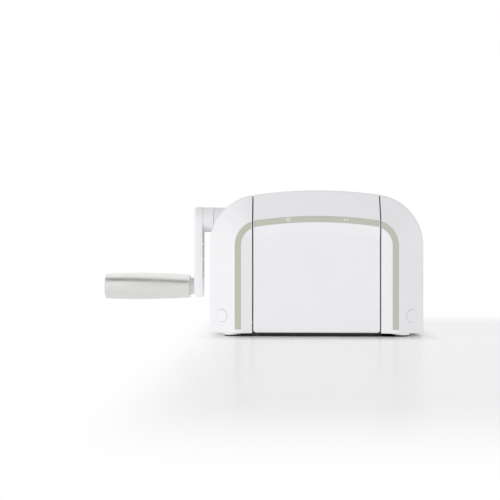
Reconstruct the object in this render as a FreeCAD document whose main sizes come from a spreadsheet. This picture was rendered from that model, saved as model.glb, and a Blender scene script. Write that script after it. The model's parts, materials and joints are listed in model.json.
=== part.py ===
import FreeCAD, Part
import Sketcher
import math
import os
import re

# A desk-top die cutting machine: a geared roller press in an arched body whose
# front and rear doors fold down into feed trays. X runs along the rollers with
# the crank at -X, Y is the feed direction with the front at -Y, Z is up. Pieces
# are built about the middle of the body and placed at the end so that the origin
# is on the table, under the middle of the whole machine.

doc = FreeCAD.newDocument("DieCuttingMachine")
sheet = doc.addObject("Spreadsheet::Sheet", "Dims")

# Sizes in millimetres, and counts of teeth.
sizes = {
    # arched body
    "housing_width": 55.6,
    "crown_rise": 35.5,
    "body_bottom": 4,
    "body_depth": 164,
    "corner_radius": 66,
    "crown_radius": 575,
    "bevel_depth": 16,
    "bevel_width": 33.8,
    "shoulder_round": 4,
    "crest_round": 2,
    "stripe_width": 7.5,
    "stripe_depth": 1.2,
    "stripe_end": 9,
    "stripe_slack": 0.1,
    "stripe_stop": 0.9,
    "dish_depth": 3.5,
    "dish_width": 14,
    "wall": 2.8,
    "panel_slack": 0.3,
    # trays
    "tray_width": 161,
    "tray_gap": 1.6,
    "tray_bottom": 4.5,
    "tray_wall": 3,
    "tray_corner": 4,
    "hinge_inset": 15,
    "open_clearance": 1,
    "heel_clearance": 0.6,
    "deck_rise": 25,
    "deck_thick": 3,
    "pin_radius": 3,
    "pin_past": 1.9,
    "pin_grip": 10.5,
    "hinge_boss": 7,
    "tray_screw_inset": 14.5,
    "tray_screw_rise": 14,
    "tray_screw_drop": 37.5,
    "magnet_radius": 5,
    "magnet_thick": 2.5,
    "magnet_inset": 20.5,
    "magnet_drop": 17.5,
    "strike_half": 8,
    "strike_thick": 1,
    # frames, base and inner covers
    "panel_thick": 2.5,
    "frame_thick": 3,
    "frame_past_hinge": 7,
    "frame_past_deck": 3,
    "frame_over_hinge": 10,
    "frame_slope": 16,
    "frame_over_crank": 20.5,
    "tab_inset": 12,
    "tab_long": 22,
    "tab_wide": 15.4,
    "plate_thick": 2,
    "neck_gap": 4,
    "tie_radius": 4,
    "tie_inset": 16.5,
    "tie_over_crank": 6.5,
    "tower_gap": 1.5,
    "tower_wall": 2.5,
    "tower_over_nip": 3.5,
    "tower_over_roller": 5.5,
    "tower_seam": 0.1,
    "tower_screw_inset": 8.5,
    "bed_thick": 3,
    "bed_gap": 1,
    "bed_lip_gap": 2,
    "bed_leg": 2.5,
    "bed_leg_inset": 0.5,
    "bed_overhang": 5,
    "bed_screw_inset": 20.5,
    "end_slack": 0.1,
    # rollers and shafts
    "roller_radius": 12.5,
    "roller_end_gap": 1.1,
    "roller_proud": 0.5,
    "nip": 13,
    "journal_radius": 6,
    "running_slack": 0.05,
    "bush_wall": 3,
    "bush_flange": 2,
    "bush_lip": 2,
    "clip_thick": 1.2,
    "clip_gap": 0.4,
    "clip_wide": 3,
    # gears
    "gear_gap": 1.4,
    "gear_two_wide": 9,
    "stage_gap": 3,
    "gear_one_wide": 7.5,
    "module_one": 1.5,
    "module_two": 1.75,
    "pinion_teeth": 15,
    "idler_large_teeth": 44,
    "idler_small_teeth": 17,
    "roller_teeth": 29,
    "sync_teeth": 19,
    "backlash": 0.25,
    "key_slack": 0.02,
    "gear_hub": 3,
    "axle_radius": 5,
    # crank
    "boss_radius": 16.5,
    "boss_short": 2,
    "boss_gap": 8.5,
    "hub_radius": 16.8,
    "hub_gap": 0.25,
    "hub_length": 14.95,
    "arm_thick": 12,
    "arm_recess": 1.8,
    "arm_rim": 3,
    "arm_round": 4.5,
    "arm_top_radius": 17.3,
    "arm_low_radius": 15,
    "rib_drop_high": 33.6,
    "rib_drop_low": 54,
    "crank_reach": 90.5,
    "arm_pad": 1.7,
    "arm_pad_radius": 10,
    "bolt_sink": 5,
    "spindle_radius": 5,
    "spindle_head": 6,
    "washer_radius": 11.3,
    "washer_thick": 3.75,
    "grip_length": 115.3,
    "grip_near_radius": 15.6,
    "grip_far_radius": 17.1,
    "grip_sag": 1.65,
    "grip_bore": 11,
    "grip_round": 1,
    "grip_cap": 12,
    "grip_cap_thick": 4,
    # feet, caps and screws
    "foot_inset_x": 28.7,
    "foot_inset_y": 8,
    "foot_reach": 9,
    "pad_radius": 11,
    "rubber_radius": 9,
    "rubber_high": 1.8,
    "cap_radius": 8,
    "cap_thick": 2,
    "cap_proud": 0.5,
    "cap_slack": 0.15,
    "cap_inset": 16.2,
    "cap_z": 26,
    "cap_boss": 11,
    "cap_boss_deep": 7,
    "screw_radius": 2,
    "small_screw": 1.5,
    "screw_head": 3.5,
    "head_high": 2,
    "screw_slack": 0.1,
}

for row, (alias, number) in enumerate(sizes.items(), start=1):
    sheet.set(f"A{row}", alias)
    sheet.set(f"B{row}", str(number))
    sheet.setAlias(f"B{row}", alias)
doc.recompute()
size = {alias: float(sheet.get(alias)) for alias in sizes}
half_width = size["tray_width"] / 2 + size["tray_gap"] + size["housing_width"]
half_depth = size["body_depth"] / 2
shaft_height = (
    size["hinge_inset"] + size["open_clearance"] + size["deck_rise"]
    + size["roller_proud"] + size["roller_radius"] + size["nip"]
    + size["module_two"] * (size["idler_small_teeth"] + size["roller_teeth"]) / 2
    + size["module_one"] * (size["pinion_teeth"] + size["idler_large_teeth"]) / 2
)
words = re.compile(r"\b(" + "|".join(sizes) + r")\b")


def formula(text):
    return words.sub(r"Dims.\1", str(text))


# Places that several pieces share, as formulas of the sheet.
tray_x = "(tray_width / 2)"
panel_in = f"({tray_x} + tray_gap)"
half = f"({panel_in} + housing_width)"
front = "(body_depth / 2)"
shoulder = f"({front} - bevel_depth)"
panel_out = f"({panel_in} + panel_thick)"
frame_out = f"({panel_out} + frame_thick)"
flange_out = f"({frame_out} + bush_flange)"
roller_x = f"({panel_in} - roller_end_gap)"
gear_two_in = f"({flange_out} + gear_gap)"
gear_two_out = f"({gear_two_in} + gear_two_wide)"
gear_one_in = f"({gear_two_out} + stage_gap)"
gear_one_out = f"({gear_one_in} + gear_one_wide)"
boss_root = f"({gear_one_out} + boss_gap)"
boss_end = f"({half} - boss_short)"
hub_in = f"({boss_end} + hub_gap)"
arm_in = f"({hub_in} + hub_length)"
arm_out = f"({arm_in} + arm_thick)"
pad_end = f"({arm_out} + arm_pad)"
grip_start = f"({pad_end} + washer_thick + hub_gap)"
grip_end = f"({grip_start} + grip_length)"
hinge_y = f"({front} - hinge_inset)"
hinge_z = "(hinge_inset + open_clearance)"
deck_in = f"({hinge_y} - deck_rise)"
deck_out = f"({deck_in} + deck_thick)"
tower_y = f"({deck_in} - tower_gap)"
tie_y = f"({tower_y} - tie_inset)"
bed_top = f"({hinge_z} + deck_rise)"
bed_out = f"({deck_in} - bed_gap)"
floor_in = "(body_bottom + wall)"
plate_top = f"({floor_in} + plate_thick)"
low_z = f"({bed_top} + roller_proud - roller_radius)"
high_z = f"({low_z} + 2 * roller_radius + nip)"
idler_z = f"({high_z} + module_two * (idler_small_teeth + roller_teeth) / 2)"
crank_z = f"({idler_z} + module_one * (pinion_teeth + idler_large_teeth) / 2)"
body_top = f"({crank_z} + crown_rise)"
tie_high = f"({crank_z} + tie_over_crank)"
grip_z = f"({crank_z} - crank_reach)"
foot_at = (f"-({half} - foot_inset_x)", f"-({shoulder} - foot_inset_y)")
bush_radius = "(journal_radius + bush_wall)"
hole = "(screw_radius + screw_slack)"
small_hole = "(small_screw + screw_slack)"
beyond = f"(2 * {half})"

turns = {
    "x": FreeCAD.Rotation(FreeCAD.Vector(0, 1, 0), 90),
    "y": FreeCAD.Rotation(FreeCAD.Vector(1, 0, 0), -90),
    "z": FreeCAD.Rotation(),
}


def side_span(sign, near, far):
    if sign > 0:
        return (near, far)
    return (f"-({far})", f"-({near})")


def box(name, x, y, z):
    piece = doc.addObject("Part::Box", name)
    for side, axis, (low, high) in zip(("Length", "Width", "Height"), "xyz", (x, y, z)):
        piece.setExpression(side, formula(f"({high}) - ({low})"))
        piece.setExpression(f"Placement.Base.{axis}", formula(low))
    return piece


def rod(name, radius, span, at, along="x"):
    piece = doc.addObject("Part::Cylinder", name)
    piece.Placement = FreeCAD.Placement(FreeCAD.Vector(), turns[along])
    piece.setExpression("Radius", formula(radius))
    piece.setExpression("Height", formula(f"({span[1]}) - ({span[0]})"))
    piece.setExpression(f"Placement.Base.{along}", formula(span[0]))
    for axis, place in zip("xyz".replace(along, ""), at):
        piece.setExpression(f"Placement.Base.{axis}", formula(place))
    return piece


def fuse(name, pieces):
    joined = doc.addObject("Part::MultiFuse", name)
    joined.Shapes = pieces
    return joined


def common(name, pieces):
    shared = doc.addObject("Part::MultiCommon", name)
    shared.Shapes = pieces
    return shared


def cut(name, base, tools):
    rest = doc.addObject("Part::Cut", name)
    rest.Base = base
    rest.Tool = tools[0] if len(tools) == 1 else fuse(f"{name}_tools", tools)
    return rest


def group(name, pieces):
    bunch = doc.addObject("Part::Compound", name)
    bunch.Links = pieces
    return bunch


def mirror(name, source, axis):
    copy = doc.addObject("Part::Mirroring", name)
    copy.Source = source
    copy.Normal = FreeCAD.Vector(*(float(letter == axis) for letter in "xyz"))
    return copy


def on_plane(body, name, role, offset):
    sketch = body.newObject("Sketcher::SketchObject", name)
    plane = next(item for item in body.Origin.OriginFeatures if item.Role == role)
    sketch.AttachmentSupport = [(plane, "")]
    sketch.MapMode = "FlatFace"
    sketch.setExpression("AttachmentOffset.Base.z", formula(offset))
    return sketch


def hold(sketch, name, size_text, *constraint):
    index = sketch.addConstraint(Sketcher.Constraint(*constraint))
    sketch.renameConstraint(index, name)
    sketch.setExpression(f"Constraints.{name}", formula(size_text))


def arch_sketch(body, name, station, inset, floor):
    sketch = on_plane(body, name, "XZ_Plane", f"-({station})")
    bend = size["corner_radius"]
    crown = size["crown_radius"]
    low = size["body_bottom"]
    crown_low = shaft_height + size["crown_rise"] - crown
    lean = math.asin((half_width - bend) / (crown - bend))
    spring = crown_low + (crown - bend) * math.cos(lean)
    straight = math.pi / 2
    up = FreeCAD.Vector(0, 0, 1)

    def line(x, start, end):
        return Part.LineSegment(FreeCAD.Vector(x[0], start, 0), FreeCAD.Vector(x[1], end, 0))

    def arc(x, y, radius, start, end):
        return Part.ArcOfCircle(Part.Circle(FreeCAD.Vector(x, y, 0), up, radius), start, end)

    sketch.addGeometry(line((-half_width, half_width), low, low))
    sketch.addGeometry(line((half_width, half_width), low, spring))
    sketch.addGeometry(arc(half_width - bend, spring, bend, 0, straight - lean))
    sketch.addGeometry(arc(0, crown_low, crown, straight - lean, straight + lean))
    sketch.addGeometry(arc(bend - half_width, spring, bend, straight + lean, math.pi))
    sketch.addGeometry(line((-half_width, -half_width), spring, low))
    sketch.addConstraint(Sketcher.Constraint("Coincident", 0, 2, 1, 1))
    for edge in range(1, 5):
        sketch.addConstraint(Sketcher.Constraint("Tangent", edge, 2, edge + 1, 1))
    sketch.addConstraint(Sketcher.Constraint("Coincident", 5, 2, 0, 1))
    sketch.addConstraint(Sketcher.Constraint("Vertical", 1))
    sketch.addConstraint(Sketcher.Constraint("Vertical", 5))
    sketch.addConstraint(Sketcher.Constraint("Symmetric", 0, 1, 0, 2, -2))
    sketch.addConstraint(Sketcher.Constraint("PointOnObject", 3, 3, -2))
    sketch.addConstraint(Sketcher.Constraint("Equal", 2, 4))
    hold(sketch, "span", f"2 * ({half} - ({inset}))", "DistanceX", 0, 1, 0, 2, 2 * half_width)
    hold(sketch, "floor", floor, "DistanceY", 0, 1, low)
    hold(sketch, "corner", f"corner_radius - ({inset})", "Radius", 2, bend)
    hold(sketch, "crown", f"crown_radius - ({inset})", "Radius", 3, crown)
    hold(sketch, "centre", f"{body_top} - crown_radius", "DistanceY", 3, 3, crown_low)
    return sketch


# An arched solid through outlines at several stations along Y, each moved in by an inset.
def arch(name, stations, floor):
    body = doc.addObject("PartDesign::Body", name)
    rings = [
        arch_sketch(body, f"{name}_ring_{index}", station, inset, floor)
        for index, (station, inset) in enumerate(stations)
    ]
    loft = body.newObject("PartDesign::AdditiveLoft", f"{name}_loft")
    loft.Profile = rings[0]
    loft.Sections = rings[1:]
    loft.Ruled = True
    return body


def polygon(sketch, points):
    count = len(points)
    corners = [FreeCAD.Vector(10 * math.cos(a), 10 * math.sin(a), 0)
               for a in (2 * math.pi * index / count for index in range(count))]
    for index in range(count):
        sketch.addGeometry(Part.LineSegment(corners[index], corners[(index + 1) % count]))
    for index in range(count):
        sketch.addConstraint(Sketcher.Constraint("Coincident", index, 2, (index + 1) % count, 1))
    for index, (across, up) in enumerate(points):
        hold(sketch, f"across_{index}", across, "DistanceX", index, 1, corners[index].x)
        hold(sketch, f"up_{index}", up, "DistanceY", index, 1, corners[index].y)


# A flat plate from an outline in the YZ plane, thickened along X.
def plate(name, points, x):
    body = doc.addObject("PartDesign::Body", name)
    sketch = on_plane(body, f"{name}_outline", "YZ_Plane", x[0])
    polygon(sketch, points)
    pad = body.newObject("PartDesign::Pad", f"{name}_pad")
    pad.Profile = sketch
    pad.setExpression("Length", formula(f"({x[1]}) - ({x[0]})"))
    return body


# A piece turned about a line along X: its profile is a list of (x, radius).
def turned(name, profile, z):
    body = doc.addObject("PartDesign::Body", name)
    sketch = on_plane(body, f"{name}_profile", "XZ_Plane", 0)
    polygon(sketch, profile)
    spin = body.newObject("PartDesign::Revolution", f"{name}_turn")
    spin.Profile = sketch
    spin.ReferenceAxis = (sketch, ["H_Axis"])
    spin.Angle = 360
    body.setExpression("Placement.Base.z", formula(z))
    return body


def ring(name, x, inner, outer, z):
    return turned(name, [(x[0], inner), (x[0], outer), (x[1], outer), (x[1], inner)], z)


def screw(name, head, shank, at, along, radius="small_screw"):
    return fuse(name, [
        rod(f"{name}_head", "screw_head", head, at, along),
        rod(f"{name}_shank", radius, shank, at, along),
    ])


# The arched outer form with its dished faces and the groove for the stripe.
band_out = "bevel_width"
band_in = "(bevel_width + stripe_width)"
block = doc.addObject("PartDesign::Body", "block")
block_pad = block.newObject("PartDesign::Pad", "block_pad")
block_pad.Profile = arch_sketch(block, "block_outline", front, 0, "body_bottom")
block_pad.setExpression("Length", formula("body_depth"))
doc.recompute()


# The edges of a feature that run round the arch at a distance from the middle plane.
def rim(feature, distance):
    names = []
    for index, edge in enumerate(feature.Shape.Edges, start=1):
        span = edge.BoundBox
        level = span.YLength < 1e-6 and abs(abs(span.Center.y) - distance) < 1e-4
        on_floor = span.ZMax < size["body_bottom"] + 1e-4
        if level and not on_floor:
            names.append(f"Edge{index}")
    return names


block_bevel = block.newObject("PartDesign::Chamfer", "block_bevel")
block_bevel.Base = (block_pad, rim(block_pad, half_depth))
block_bevel.ChamferType = "Two distances"
block_bevel.setExpression("Size", formula("bevel_depth"))
block_bevel.setExpression("Size2", formula("bevel_width"))
doc.recompute()
block_round = block.newObject("PartDesign::Fillet", "block_round")
block_round.Base = (block_bevel, rim(block_bevel, half_depth - size["bevel_depth"]))
block_round.setExpression("Radius", formula("shoulder_round"))
doc.recompute()
block_crest = block.newObject("PartDesign::Fillet", "block_crest")
block_crest.Base = (block_round, rim(block_round, half_depth))
block_crest.setExpression("Radius", formula("crest_round"))
doc.recompute()
slope = "sqrt(1 + (bevel_depth / bevel_width) ^ 2)"
inner_front = f"({front} - dish_depth - wall)"
inner_shoulder = f"({shoulder} - wall * {slope} + wall * bevel_depth / bevel_width)"
inner_crest = f"(wall + ({inner_front} - {inner_shoulder}) * bevel_width / bevel_depth)"


def inner_arch(name, slack):
    crest = f"({inner_front} - {slack})"
    side = f"({inner_shoulder} - {slack})"
    return arch(name, [
        (f"-{crest}", f"{inner_crest} + {slack}"), (f"-{side}", f"wall + {slack}"),
        (side, f"wall + {slack}"), (crest, f"{inner_crest} + {slack}"),
    ], floor_in)


cavity = inner_arch("cavity", "0")
lining = inner_arch("lining", "panel_slack")
below = "(body_bottom - wall)"
dish_in = f"({band_in} + dish_width)"
dishes = [
    arch("front_dish", [(f"-{front}", band_in), (f"-({front} - dish_depth)", dish_in)], below),
    arch("rear_dish", [(front, band_in), (f"{front} - dish_depth", dish_in)], below),
]


everywhere = (f"-{beyond}", beyond)
sides = (("left", -1), ("right", 1))


# The stripe stops short of the seams beside the trays.
def band(name, slack, y):
    stops = [box(f"{name}_{side}_stop", side_span(sign, f"({tray_x} - stripe_stop - {slack})",
                                                  f"({panel_in} + stripe_stop + {slack})"),
                 everywhere, everywhere) for side, sign in sides]
    outer = arch(f"{name}_outer", [(y[0], f"{band_out} + {slack}"), (y[1], f"{band_out} + {slack}")],
                 "stripe_end")
    inner = arch(f"{name}_inner", [(y[0], f"{band_in} - {slack}"), (y[1], f"{band_in} - {slack}")],
                 below)
    return cut(name, outer, [inner, *stops])


front_skin = (f"-{front}", f"-({front} - stripe_depth)")
front_groove = band("front_groove", "0", front_skin)
rear_groove = mirror("rear_groove", front_groove, "y")
front_stripe = band("front_stripe", "stripe_slack", front_skin)
hull = cut("hull", block, dishes + [front_groove, rear_groove])

nodes = []


def node(piece):
    nodes.append(piece)
    return piece


def four(piece):
    across = mirror(f"{piece.Name}_across", piece, "x")
    back = mirror(f"{piece.Name}_back", piece, "y")
    return [piece, across, back, mirror(f"{piece.Name}_far", across, "y")]


def pair(piece, axis):
    return [piece, mirror(f"{piece.Name}_twin", piece, axis)]


plate_z = (floor_in, plate_top)

# The left front cover screw's own frame: its Z points out of the bevel, its Y up.
tilt = math.atan2(size["bevel_depth"], size["bevel_width"])
outward = FreeCAD.Vector(-math.sin(tilt), -math.cos(tilt), 0)
upward = FreeCAD.Vector(0, 0, 1)
bevel_point = FreeCAD.Vector(
    size["cap_inset"] - half_width,
    size["bevel_depth"] - half_depth - size["cap_inset"] * math.tan(tilt),
    size["cap_z"],
)
bevel_turn = FreeCAD.Rotation(upward.cross(outward), upward, outward, "ZXY")


def on_bevel(name, pieces):
    bunch = group(name, pieces)
    bunch.Placement = FreeCAD.Placement(bevel_point, bevel_turn)
    return bunch


def bevel_rod(name, radius, deep, shallow):
    return rod(name, radius, (f"-({deep})", f"-({shallow})"), (0, 0), "z")


cap_under = "(cap_thick - cap_proud)"
head_seat = f"({cap_under} + screw_slack + head_high)"
tab_deep = "(cap_boss_deep + plate_thick)"
cap_cuts = four(on_bevel("cap_cut", [
    bevel_rod("cap_seat", "cap_radius + cap_slack", cap_under, "-cap_radius"),
    bevel_rod("cap_well", "screw_head + screw_slack", head_seat, 0),
    bevel_rod("cap_hole", hole, "2 * cap_boss_deep", 0),
]))
node(group("screw_caps", four(on_bevel("cap", [
    bevel_rod("cap_disc", "cap_radius", cap_under, "-cap_proud"),
]))))
node(group("cover_screws", four(on_bevel("cover_screw", [
    fuse("cover_screw_body", [
        bevel_rod("cover_screw_head", "screw_head", head_seat, f"{cap_under} + screw_slack"),
        bevel_rod("cover_screw_shank", "screw_radius", f"{tab_deep} + head_high", head_seat),
    ]),
]))))
cap_bosses = four(on_bevel("cap_boss_rod", [
    bevel_rod("cap_boss_core", "cap_boss", "cap_boss_deep", "wall / 2"),
]))
tabs = four(on_bevel("plate_tab", [
    box("plate_tab_upright", ("-cap_radius", "cap_radius"), (f"{floor_in} - cap_z", "cap_radius"),
        (f"-{tab_deep}", "-cap_boss_deep")),
]))

# Holes that line up through several pieces.
foot_holes = four(rod("foot_hole", hole, (0, f"{plate_top} + wall"), foot_at, "z"))
leg_in = "(roller_radius + bed_lip_gap + bed_leg_inset)"
leg_out = f"({bed_out} - bed_overhang)"
bed_screw_at = (f"-({tray_x} - bed_screw_inset)", f"-({leg_in} + {leg_out} + bed_leg) / 2")
bed_holes = four(rod("bed_hole", small_hole, (0, low_z), bed_screw_at, "z"))
frame_foot = f"({hinge_y} + frame_past_hinge)"
tab_far = f"({frame_foot} - tab_inset)"
tab_near = f"({tab_far} - tab_long)"
tab_end = f"({frame_out} + tab_wide)"
frame_screw_at = (f"-({frame_out} + {tab_end}) / 2", f"-({tab_near} + {tab_far}) / 2")
frame_holes = four(rod("frame_hole", hole, (0, hinge_z), frame_screw_at, "z"))
tower_screw_at = (f"-({tower_y} - tower_screw_inset)", f"({idler_z} + {crank_z}) / 2")
tower_root = f"({panel_in} - end_slack - 4 * tower_wall)"
tower_holes = four(rod("tower_hole", small_hole, (f"-({frame_out} + wall)", f"-{tower_root}"),
                       tower_screw_at))


def tie_set(name, radius, x):
    low = pair(rod(f"{name}_low", radius, x, (f"-{tie_y}", idler_z)), "y")
    high = pair(rod(f"{name}_high", radius, x, (f"-{tie_y}", tie_high)), "y")
    return low + high


# Base plate: a neck between the trays that widens inside each housing, with
# upright tabs behind the cover screws and a window under the sync gears.
neck_y = f"({deck_in} - neck_gap)"
wings = common("plate_wings", [lining, group("plate_wing_boxes", pair(
    box("plate_wing", side_span(-1, panel_out, half), everywhere, plate_z), "x"))])
neck = box("plate_neck_box", (f"-({panel_out} + wall)", f"{panel_out} + wall"),
           (f"-{neck_y}", neck_y), plate_z)
sync_window = box("sync_window", (f"{gear_two_in} - wall", f"{gear_two_out} + wall"),
                  ("-roller_radius - wall", "roller_radius + wall"), everywhere)
node(cut("base_plate", fuse("plate_solid", [wings, neck] + tabs),
         foot_holes + bed_holes + frame_holes + cap_cuts + [sync_window]))

# Housing covers, open towards the middle, each carrying a stretch of the stripe.
collar = fuse("crank_collar", [
    cut("crank_collar_skin", rod("crank_collar_rod", "boss_radius",
                                 (f"-{boss_end}", f"-{gear_one_in}"), (0, crank_z)), [cavity]),
    rod("crank_collar_core", f"{bush_radius} + wall", (f"-{boss_end}", f"-{boss_root}"), (0, crank_z)),
])
collar_bore = rod("crank_collar_bore", f"{bush_radius} + running_slack",
                  (f"-{boss_end} - wall", f"-{boss_root} + wall"), (0, crank_z))
for side, sign in sides:
    half_box = box(f"{side}_half", side_span(sign, panel_in, beyond), everywhere, everywhere)
    shell = cut(f"{side}_shell", common(f"{side}_block", [hull, half_box]), [cavity])
    inside = box(f"{side}_inside", side_span(sign, panel_out, beyond), everywhere, everywhere)
    boss_rods = group(f"{side}_boss_rods", cap_bosses[(sign + 1) // 2::2])
    bosses = common(f"{side}_bosses", [boss_rods, inside])
    solids = [shell, bosses] + ([collar] if sign < 0 else [])
    holes = cap_cuts + foot_holes + ([collar_bore] if sign < 0 else [])
    node(cut(f"{side}_outer_cover", fuse(f"{side}_cover_solid", solids), holes))
    strip = common(f"{side}_strip", [front_stripe, half_box])
    node(group(f"{side}_cover_stripes", pair(strip, "y")))

# Feet: a moulded pad with a rubber sole under it, both drawn out towards the front or
# the rear, and one screw that holds the two.
foot_front = (foot_at[0], f"({foot_at[1]} - foot_reach)")


def foot_slab(name, radius, z):
    return fuse(name, [
        rod(f"{name}_heel", radius, z, foot_at, "z"),
        rod(f"{name}_toe", radius, z, foot_front, "z"),
        box(f"{name}_waist", (f"{foot_at[0]} - {radius}", f"{foot_at[0]} + {radius}"),
            (foot_front[1], foot_at[1]), z),
    ])


pad = cut("foot_pad", foot_slab("foot_pad_slab", "pad_radius", ("rubber_high", "body_bottom")),
          [foot_holes[0]])
rubber = cut("rubber_foot", foot_slab("rubber_foot_slab", "rubber_radius", (0, "rubber_high")),
             [rod("rubber_foot_well", "screw_head + 5 * screw_slack", (0, "rubber_high"),
                  foot_at, "z")])
node(group("foot_pads", four(pad)))
node(group("rubber_feet", four(rubber)))
node(group("foot_screws", four(screw("foot_screw", ("rubber_high / 3", "rubber_high"),
                                     ("rubber_high", f"{plate_top} + wall"),
                                     foot_at, "z", "screw_radius"))))

# Side frames of folded steel: they carry the rollers, the gears and the tray hinges.
frame_half = f"({deck_in} + frame_past_deck)"
frame_step = f"({hinge_z} + frame_over_hinge)"
frame_neck = f"({frame_step} + frame_slope)"
frame_top = f"({crank_z} + frame_over_crank)"
frame_outline = [
    (f"-{frame_foot}", plate_top), (frame_foot, plate_top), (frame_foot, frame_step),
    (frame_half, frame_neck), (frame_half, frame_top), (f"-{frame_half}", frame_top),
    (f"-{frame_half}", frame_neck), (f"-{frame_foot}", frame_step),
]
across_all = (f"-({frame_out} + wall)", f"{frame_out} + wall")
hinge_holes = pair(rod("hinge_hole", "pin_radius + running_slack", across_all,
                       (f"-{hinge_y}", hinge_z)), "y")
bush_holes = [rod("low_bush_hole", f"{bush_radius} + key_slack", across_all, (0, low_z)),
              rod("high_bush_hole", f"{bush_radius} + key_slack", across_all, (0, high_z))]
tie_holes = tie_set("tie_hole", hole, across_all)
left_holes = [
    rod("crank_bush_hole", f"{bush_radius} + key_slack", across_all, (0, crank_z)),
    rod("idler_axle_hole", "axle_radius + key_slack", across_all, (0, idler_z)),
]
for side, sign in sides:
    web = plate(f"{side}_frame_web", frame_outline, side_span(sign, panel_out, frame_out))
    feet = pair(box(f"{side}_frame_tab", side_span(sign, panel_out, tab_end),
                    (f"-{tab_far}", f"-{tab_near}"), (plate_top, f"{plate_top} + frame_thick")), "y")
    holes = hinge_holes + bush_holes + tie_holes + tower_holes + frame_holes
    holes = holes + (left_holes if sign < 0 else [])
    node(cut(f"{side}_side_frame", fuse(f"{side}_frame_solid", [web] + feet), holes))
node(group("frame_screws", four(screw(
    "frame_screw", (f"{plate_top} + frame_thick", f"{plate_top} + frame_thick + head_high"),
    (floor_in, f"{plate_top} + frame_thick"), frame_screw_at, "z",
    "screw_radius"))))

# Inner panels close each housing beside the trays and the tower.
panel_blank = common("panel_blank", [lining, box("panel_box", side_span(-1, panel_in, panel_out),
                                                 everywhere, everywhere)])
panel_notch = box("panel_notch", everywhere, (f"-({neck_y} + panel_slack)", f"{neck_y} + panel_slack"),
                  (0, f"{plate_top} + panel_slack"))
panel_holes = pair(rod("panel_hinge_hole", "pin_radius + 1", across_all, (f"-{hinge_y}", hinge_z)), "y")
panel_holes += [rod("panel_low_hole", "journal_radius + 1", across_all, (0, low_z)),
                rod("panel_high_hole", "journal_radius + 1", across_all, (0, high_z))]
tie_passes = tie_set("tie_pass", "tie_radius + panel_slack", across_all)
left_panel = cut("left_inner_panel", panel_blank, [panel_notch] + panel_holes + tie_passes + tower_holes)
node(left_panel)
node(mirror("right_inner_panel", left_panel, "x"))

# Tie rods between the frames, tapped at both ends.
tie_tap = "(6 * screw_radius)"
tie_bars = tie_set("tie_bar", "tie_radius", (f"-{panel_out}", panel_out))
tie_bore = tie_set("tie_bore_rod", hole, (f"-{panel_out}", f"{tie_tap} - {panel_out}"))
tie_bores = pair(group("tie_bore", tie_bore), "x")
node(cut("tie_rods", group("tie_bars", tie_bars), tie_bores))


def tie_screw(name, z):
    return four(screw(name, (f"-({frame_out} + head_high)", f"-{frame_out}"),
                      (f"-{frame_out}", f"{tie_tap} - {panel_out} - screw_radius"),
                      (f"-{tie_y}", z), "x", "screw_radius"))


tie_screws = tie_screw("tie_screw_low", idler_z) + tie_screw("tie_screw_high", tie_high)
node(group("tie_rod_screws", tie_screws))

# Tower covers: two halves that meet over the rollers, screwed to the frames.
tower_x = f"({panel_in} - end_slack)"
tower_bottom = f"({high_z} - roller_radius + tower_over_nip)"
tower_out = common("tower_blank", [hull, box("tower_box", (f"-{tower_x}", tower_x),
                                             (f"-{tower_y}", "-tower_seam"), (tower_bottom, beyond))])
room_x = f"({tower_x} - tower_wall)"
tower_room = common("tower_room", [cavity, box("tower_room_box", (f"-{room_x}", room_x),
                                               (f"-({tower_y} - tower_wall)", "wall"), (0, beyond))])
tower_gate = box("tower_gate", (f"-{panel_out}", panel_out), (f"-({tower_y} - tower_wall)", "wall"),
                 (0, f"{high_z} + roller_radius + tower_over_roller"))
tower_posts = pair(rod("tower_post", "2 * tower_wall", (f"-{room_x}", f"-{tower_root}"),
                       tower_screw_at), "x")
front_tower = cut("front_tower_cover", fuse("tower_solid", [
    cut("tower_shell", tower_out, [tower_room, tower_gate]), *tower_posts,
]), tower_holes + tie_passes)
node(front_tower)
node(mirror("rear_tower_cover", front_tower, "y"))
node(group("tower_screws", four(screw(
    "tower_screw", (f"-({frame_out} + head_high)", f"-{frame_out}"),
    (f"-{frame_out}", f"-({tower_root} + wall)"), tower_screw_at, "x"))))
magnet_x = f"({tray_x} - magnet_inset)"
magnet_z = f"({body_top} - magnet_drop)"
strike = box("strike", (f"-{magnet_x} - strike_half", f"-{magnet_x} + strike_half"),
             (f"-({tower_y} + strike_thick)", f"-{tower_y}"),
             (f"{magnet_z} - strike_half", f"{magnet_z} + strike_half"))
node(group("strike_plates", four(strike)))

# Beds: moulded channels level with the open trays, on each side of the lower roller.
bed_under = f"({bed_top} - bed_thick)"
bed_lip = "(roller_radius + bed_lip_gap)"
bed_outline = [(f"-{bed_out}", bed_under), (f"-{bed_out}", bed_top),
               (f"-{bed_lip}", bed_top), (f"-{bed_lip}", bed_under)]
for leg in (leg_in, leg_out):
    bed_outline += [(f"-{leg}", bed_under), (f"-{leg}", plate_top), (f"-({leg} + bed_leg)", plate_top),
                    (f"-({leg} + bed_leg)", bed_under)]
bed_x = f"({tower_x} - end_slack)"
bed_posts = pair(rod("bed_post", "2 * bed_leg", (plate_top, f"{bed_top} - bed_thick / 2"),
                     bed_screw_at, "z"), "x")
bed_channel = plate("bed_channel", bed_outline, (f"-{bed_x}", bed_x))
front_bed = cut("front_bed", fuse("bed_solid", [bed_channel, *bed_posts]), bed_holes)
node(front_bed)
node(mirror("rear_bed", front_bed, "y"))
node(group("bed_screws", four(screw("bed_screw", (f"{floor_in} - head_high", floor_in),
                                    (floor_in, f"{low_z} - wall"), bed_screw_at, "z"))))

# Rollers: journals run in flanged bushes in the frames.
upper_end = f"({gear_two_out} + clip_gap + 2 * clip_thick)"
short_end = f"({flange_out} + clip_gap + 2 * clip_thick)"


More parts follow.
